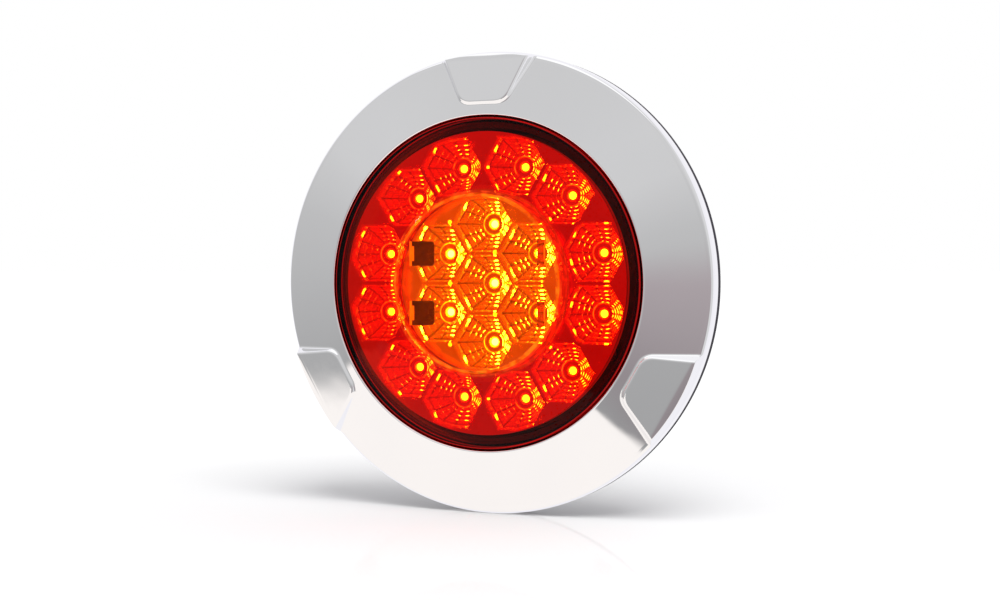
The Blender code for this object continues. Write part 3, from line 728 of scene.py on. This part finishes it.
def build_reflector(name, spots, plate_z, inner_r, outer_r, squeeze, slopes, finishes, pips=()):
    """The plated plate with its cups, given a moulding's thickness to the back.

    finishes are for the plating, the floor round the LED, the collar round that, and the pips: small studs
    at (x, y) on the plate. All carry painted light: a glow on the plating and the floor, a glint on the
    collar and the pips.
    """
    columns = FLUTES * FLUTE_STEPS
    angles = np.linspace(-np.pi, np.pi, columns, endpoint=False)
    limits = (inner_r + 0.5 if inner_r else 0, outer_r - 0.3)
    bm = bmesh.new()
    # Each point's painted shade for the grooves is kept as a vertex attribute.
    groove_shade_layer = bm.verts.layers.float.new("groove_shade")
    loops = []
    for spot in spots:
        others = [other for other in spots if other is not spot]
        mouth = mouth_radius(spot, others, angles, squeeze, *limits)
        points, groove_shades = cup_points(spot, mouth, angles, plate_z, slopes)
        made = [bm.verts.new(point) for point in points.reshape(-1, 3)]
        for vertex, groove_shade in zip(made, groove_shades.flat):
            vertex[groove_shade_layer] = groove_shade
        bead_start = len(points) - len(FLOOR_RADII) - BEAD_RINGS - 1
        for number, face in enumerate(grid_faces(len(points), columns)):
            shown = bm.faces.new([made[i] for i in reversed(face)])
            ring = number // columns
            # The bead's crest takes the collar's painted glint, the last rings the floor's painted glow.
            if ring - bead_start in COLLAR_RINGS:
                shown.material_index = 2
            elif ring >= len(points) - 2:
                shown.material_index = 1
        loops.append(made[:columns])
    rim_steps = 240
    turn = np.linspace(0, 2 * np.pi, rim_steps, endpoint=False)
    for radius in [outer_r] + ([inner_r] if inner_r else []):
        loops.append([bm.verts.new((radius * math.cos(a), radius * math.sin(a), plate_z)) for a in turn])
    edges = [bm.edges.get((a, b)) or bm.edges.new((a, b))
             for loop in loops for a, b in zip(loop, loop[1:] + loop[:1])]
    filled = bmesh.ops.triangle_fill(bm, use_beauty=True, use_dissolve=False, edges=edges, normal=(0, 0, 1))
    for face in filled["geom"]:
        if isinstance(face, bmesh.types.BMFace):
            face.normal_update()
            if face.normal.z < 0:
                face.normal_flip()
    top = loops[len(spots)]
    bottom = [bm.verts.new((v.co.x, v.co.y, plate_z - PLATE_SKIRT)) for v in top]
    for i in range(rim_steps):
        j = (i + 1) % rim_steps
        bm.faces.new((top[i], bottom[i], bottom[j], top[j]))
    for x, y in pips:
        at = Matrix.Translation((x, y, plate_z - 0.4)) @ Matrix.Diagonal((1, 1, 0.8, 1))
        add_ball(bm, PIP_R, at, (20, 10), 3)
    obj = from_bmesh(bm, name, finishes)
    thick = obj.modifiers.new("moulding", "SOLIDIFY")
    thick.thickness = PLATE_WALL * MM
    thick.offset = -1
    return obj


def settle(obj, sharp_deg):
    """Bakes the modifiers into the mesh."""
    bpy.context.view_layer.update()
    evaluated = obj.evaluated_get(bpy.context.evaluated_depsgraph_get())
    mesh = bpy.data.meshes.new_from_object(evaluated)
    obj.modifiers.clear()
    obj.data = mesh
    smooth(mesh, sharp_deg)


def build_reflectors():
    red_spots = [np.array(centre(name)) for name in names("led_red_")]
    red = build_reflector("red_reflector_plated", red_spots, RED_PLATE_Z, PLATE_IN_R, PLATE_OUT_R, 1.0,
                          RED_SLOPES, (RED_PLATING_GLOW, RED_HALO, RED_COLLAR_GLINT))
    amber_spots = [np.array(centre(name)) for name in names("led_amber_")]
    pips = [(x - PIP_SHIFT, y * 1.03) for x, y in amber_spots if x > -10]
    amber = build_reflector("amber_reflector_plated", amber_spots, AMBER_PLATE_Z, 0, AMBER_PLATE_R,
                            AMBER_SQUEEZE, AMBER_SLOPES,
                            (AMBER_PLATING_GLOW, AMBER_HALO, AMBER_COLLAR_GLINT, AMBER_PIP_GLINT), pips)
    for reflector, node in ((red, "red_reflector"), (amber, "amber_reflector")):
        settle(reflector, 7.5)
        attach(reflector, "lamp")
        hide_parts(node)


# LEDs.
def build_leds():
    for color, dome_finish in (("red", RED_DOME), ("amber", AMBER_DOME)):
        for name in names(f"led_{color}_"):
            low, high = extent(name)
            x, y = centre(name)
            top = low[2] + LED_BODY
            bm = bmesh.new()
            size = Matrix.Diagonal((high[0] - low[0], high[1] - low[1], LED_BODY, 1))
            middle = Matrix.Translation((x, y, low[2] + LED_BODY / 2))
            bmesh.ops.create_cube(bm, size=1.0, matrix=middle @ size)
            bmesh.ops.bevel(bm, geom=bm.edges[:], offset=LED_EDGE, segments=2, affect="EDGES")
            add_ball(bm, high[2] - top, Matrix.Translation((x, y, top)), (32, 20), 1)
            below = [face for face in bm.faces
                     if face.material_index == 1 and face.calc_center_median().z < top - DOME_BELOW]
            bmesh.ops.delete(bm, geom=below, context="FACES")
            lit = from_bmesh(bm, name + "_lit", (LED_CERAMIC, dome_finish))
            smooth(lit.data, 40)
            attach(lit, "lamp")
            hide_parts(name)


# CAD nodes that stay.
def finish_nodes():
    finishes = {
        "rear_housing": HOUSING, "cable_gland": HOUSING, "breather_vent": HOUSING, "mounting_gasket": RUBBER,
        "lens_seal": RUBBER, "circuit_board": solder_mask(), "resistor_": RESISTOR, "input_diode_": CHIP,
        "surge_diode": CHIP, "driver_chip": CHIP, "terminal_block": CREAM, "capacitor": CAN,
        "board_screw_": STEEL, "mounting_screw_": STEEL,
    }
    for prefix, finish in finishes.items():
        for name in names(prefix):
            for place in range(len(NODES[name].material_slots)):
                NODES[name].material_slots[place].link = "DATA"
                NODES[name].data.materials[place] = finish


# Studio.
def build_floor():
    """A white, slightly glossy table that turns into a plain glow away from the lamp.

    It stays out of mirror-like reflections, where the world stands for it.
    """
    s = Shader("white_table")
    grain = s.bump(s.noise(300, 2.0), 0.01, 0.001)
    matt = s.node("ShaderNodeBsdfDiffuse", {"Color": color4(0.56), "Normal": grain}).outputs[0]
    gloss = s.node("ShaderNodeBsdfGlossy",
                   {"Color": color4(1.0), "Roughness": 0.05, "Normal": grain}).outputs[0]
    near = s.node("ShaderNodeMixShader", {0: 0.10, 1: matt, 2: gloss}).outputs[0]
    far = s.node("ShaderNodeEmission", {"Color": color4(1.0), "Strength": 1.1}).outputs[0]
    away = s.node("ShaderNodeVectorMath", {0: s.position()}, operation="LENGTH").outputs["Value"]
    near_m, far_m = 0.10, 0.32
    surface = s.node("ShaderNodeMixShader", {0: s.span(away, near_m, far_m), 1: near, 2: far}).outputs[0]
    half_m = 30.0
    corners = [(x * half_m, y * half_m, FLOOR_Z) for x, y in ((-1, -1), (1, -1), (1, 1), (-1, 1))]
    mesh = bpy.data.meshes.new("table")
    mesh.from_pydata(corners, [], [(0, 1, 2, 3)])
    mesh.materials.append(s.finish(surface))
    floor = bpy.data.objects.new("table", mesh)
    bpy.context.scene.collection.objects.link(floor)
    floor.visible_glossy = False


def build_world():
    """The studio by direction, as the chrome sees it: turn and rise are degrees round and up from -Y.

    Grey walls before the lamp grow lighter upwards to a softbox overhead. A white table's edge runs low down,
    the right is faintly pink near the table, and the wall far to the right is lighter. Everything behind the
    lamp is white, and so is the plain backdrop.
    """
    s = Shader("studio", world=True)
    direction = s.node("ShaderNodeTexCoord").outputs["Generated"]
    x, y, z = s.axes(direction)
    turn = s.math("MULTIPLY", s.math("ARCTAN2", x, s.math("MULTIPLY", y, -1.0)), 180 / math.pi)
    rise = s.math("MULTIPLY", s.math("ARCSINE", z), 180 / math.pi)
    low, high = -45.0, 60.0
    greys = ((-45, 0.33), (-30, 0.347), (-20, 0.383), (-10, 0.457), (0, 0.518), (10, 0.572), (20, 0.678),
             (28, 0.69), (40, 0.657), (46.5, 0.66), (49, 1.15), (60, 1.15))
    stops = [((degrees - low) / (high - low), grey) for degrees, grey in greys]
    shown = s.ramp(s.span(rise, low, high, smooth=False), stops)
    right = s.math("MULTIPLY", s.span(turn, 3, 12), s.span(rise, -2, 8, 1, 0))
    shade = s.blend(right, (1, 1, 1), (0.88, 0.78, 0.81))
    shown = s.blend(1.0, shown, shade, "MULTIPLY")
    shown = s.blend(s.span(turn, 38, 52), shown, 0.75)
    edge = s.math("SUBTRACT", s.span(turn, -8, 6, -12.5, -31), s.span(turn, -62, -48, 3, 0))
    wobble = s.span(s.noise(6, 2.0, vector=direction), 0.3, 0.7, -0.8, 0.8)
    above = s.math("SUBTRACT", rise, s.math("ADD", edge, wobble))
    shown = s.blend(s.span(above, -0.8, 0.8), (1.08, 1.03, 0.99), shown)
    shown = s.blend(s.span(y, -0.1, 0.1), shown, (0.99, 0.98, 1.02))
    camera_ray = s.node("ShaderNodeLightPath").outputs["Is Camera Ray"]
    shown = s.blend(camera_ray, shown, (1.0, 1.0, 1.0))
    surface = s.node("ShaderNodeBackground", {"Color": shown, "Strength": 1.0}).outputs[0]
    bpy.context.scene.world = s.finish(surface)


def add_key_light():
    """A softbox high on the right, aimed at the lamp and left out of its mirror-like reflections."""
    light = bpy.data.lights.new("key_light", "AREA")
    light.shape = "RECTANGLE"
    light.size, light.size_y = 1.0, 1.0
    light.energy = 28.0
    made = bpy.data.objects.new("key_light", light)
    bpy.context.scene.collection.objects.link(made)
    made.location = (0.5, -0.6, 1.2)
    made.rotation_euler = (-made.location).to_track_quat("-Z", "Y").to_euler()
    made.visible_glossy = False


def add_camera():
    """From a little above the lamp's middle, 23 degrees round to its right."""
    yaw, pitch, roll = math.radians(23.0), math.radians(1.14), math.radians(-0.1)
    distance = 0.5591
    target = Vector((0.00698, -OPENING_Z * MM, -0.0058))
    forward = Vector((-math.sin(yaw) * math.cos(pitch), math.cos(yaw) * math.cos(pitch), -math.sin(pitch)))
    data = bpy.data.cameras.new("camera")
    data.sensor_width, data.lens = 36.0, 57.6
    data.clip_start, data.clip_end = 0.01, 100.0
    camera = bpy.data.objects.new("camera", data)
    bpy.context.scene.collection.objects.link(camera)
    camera.location = target - forward * distance
    facing = forward.to_track_quat("-Z", "Y").to_matrix()
    camera.rotation_euler = (facing @ Matrix.Rotation(roll, 3, "Z")).to_euler()
    bpy.context.scene.camera = camera


build_trim_ring()
build_lenses()
build_reflectors()
build_leds()
finish_nodes()
build_floor()
build_world()
add_key_light()
add_camera()
bpy.context.scene.view_settings.view_transform = "Standard"
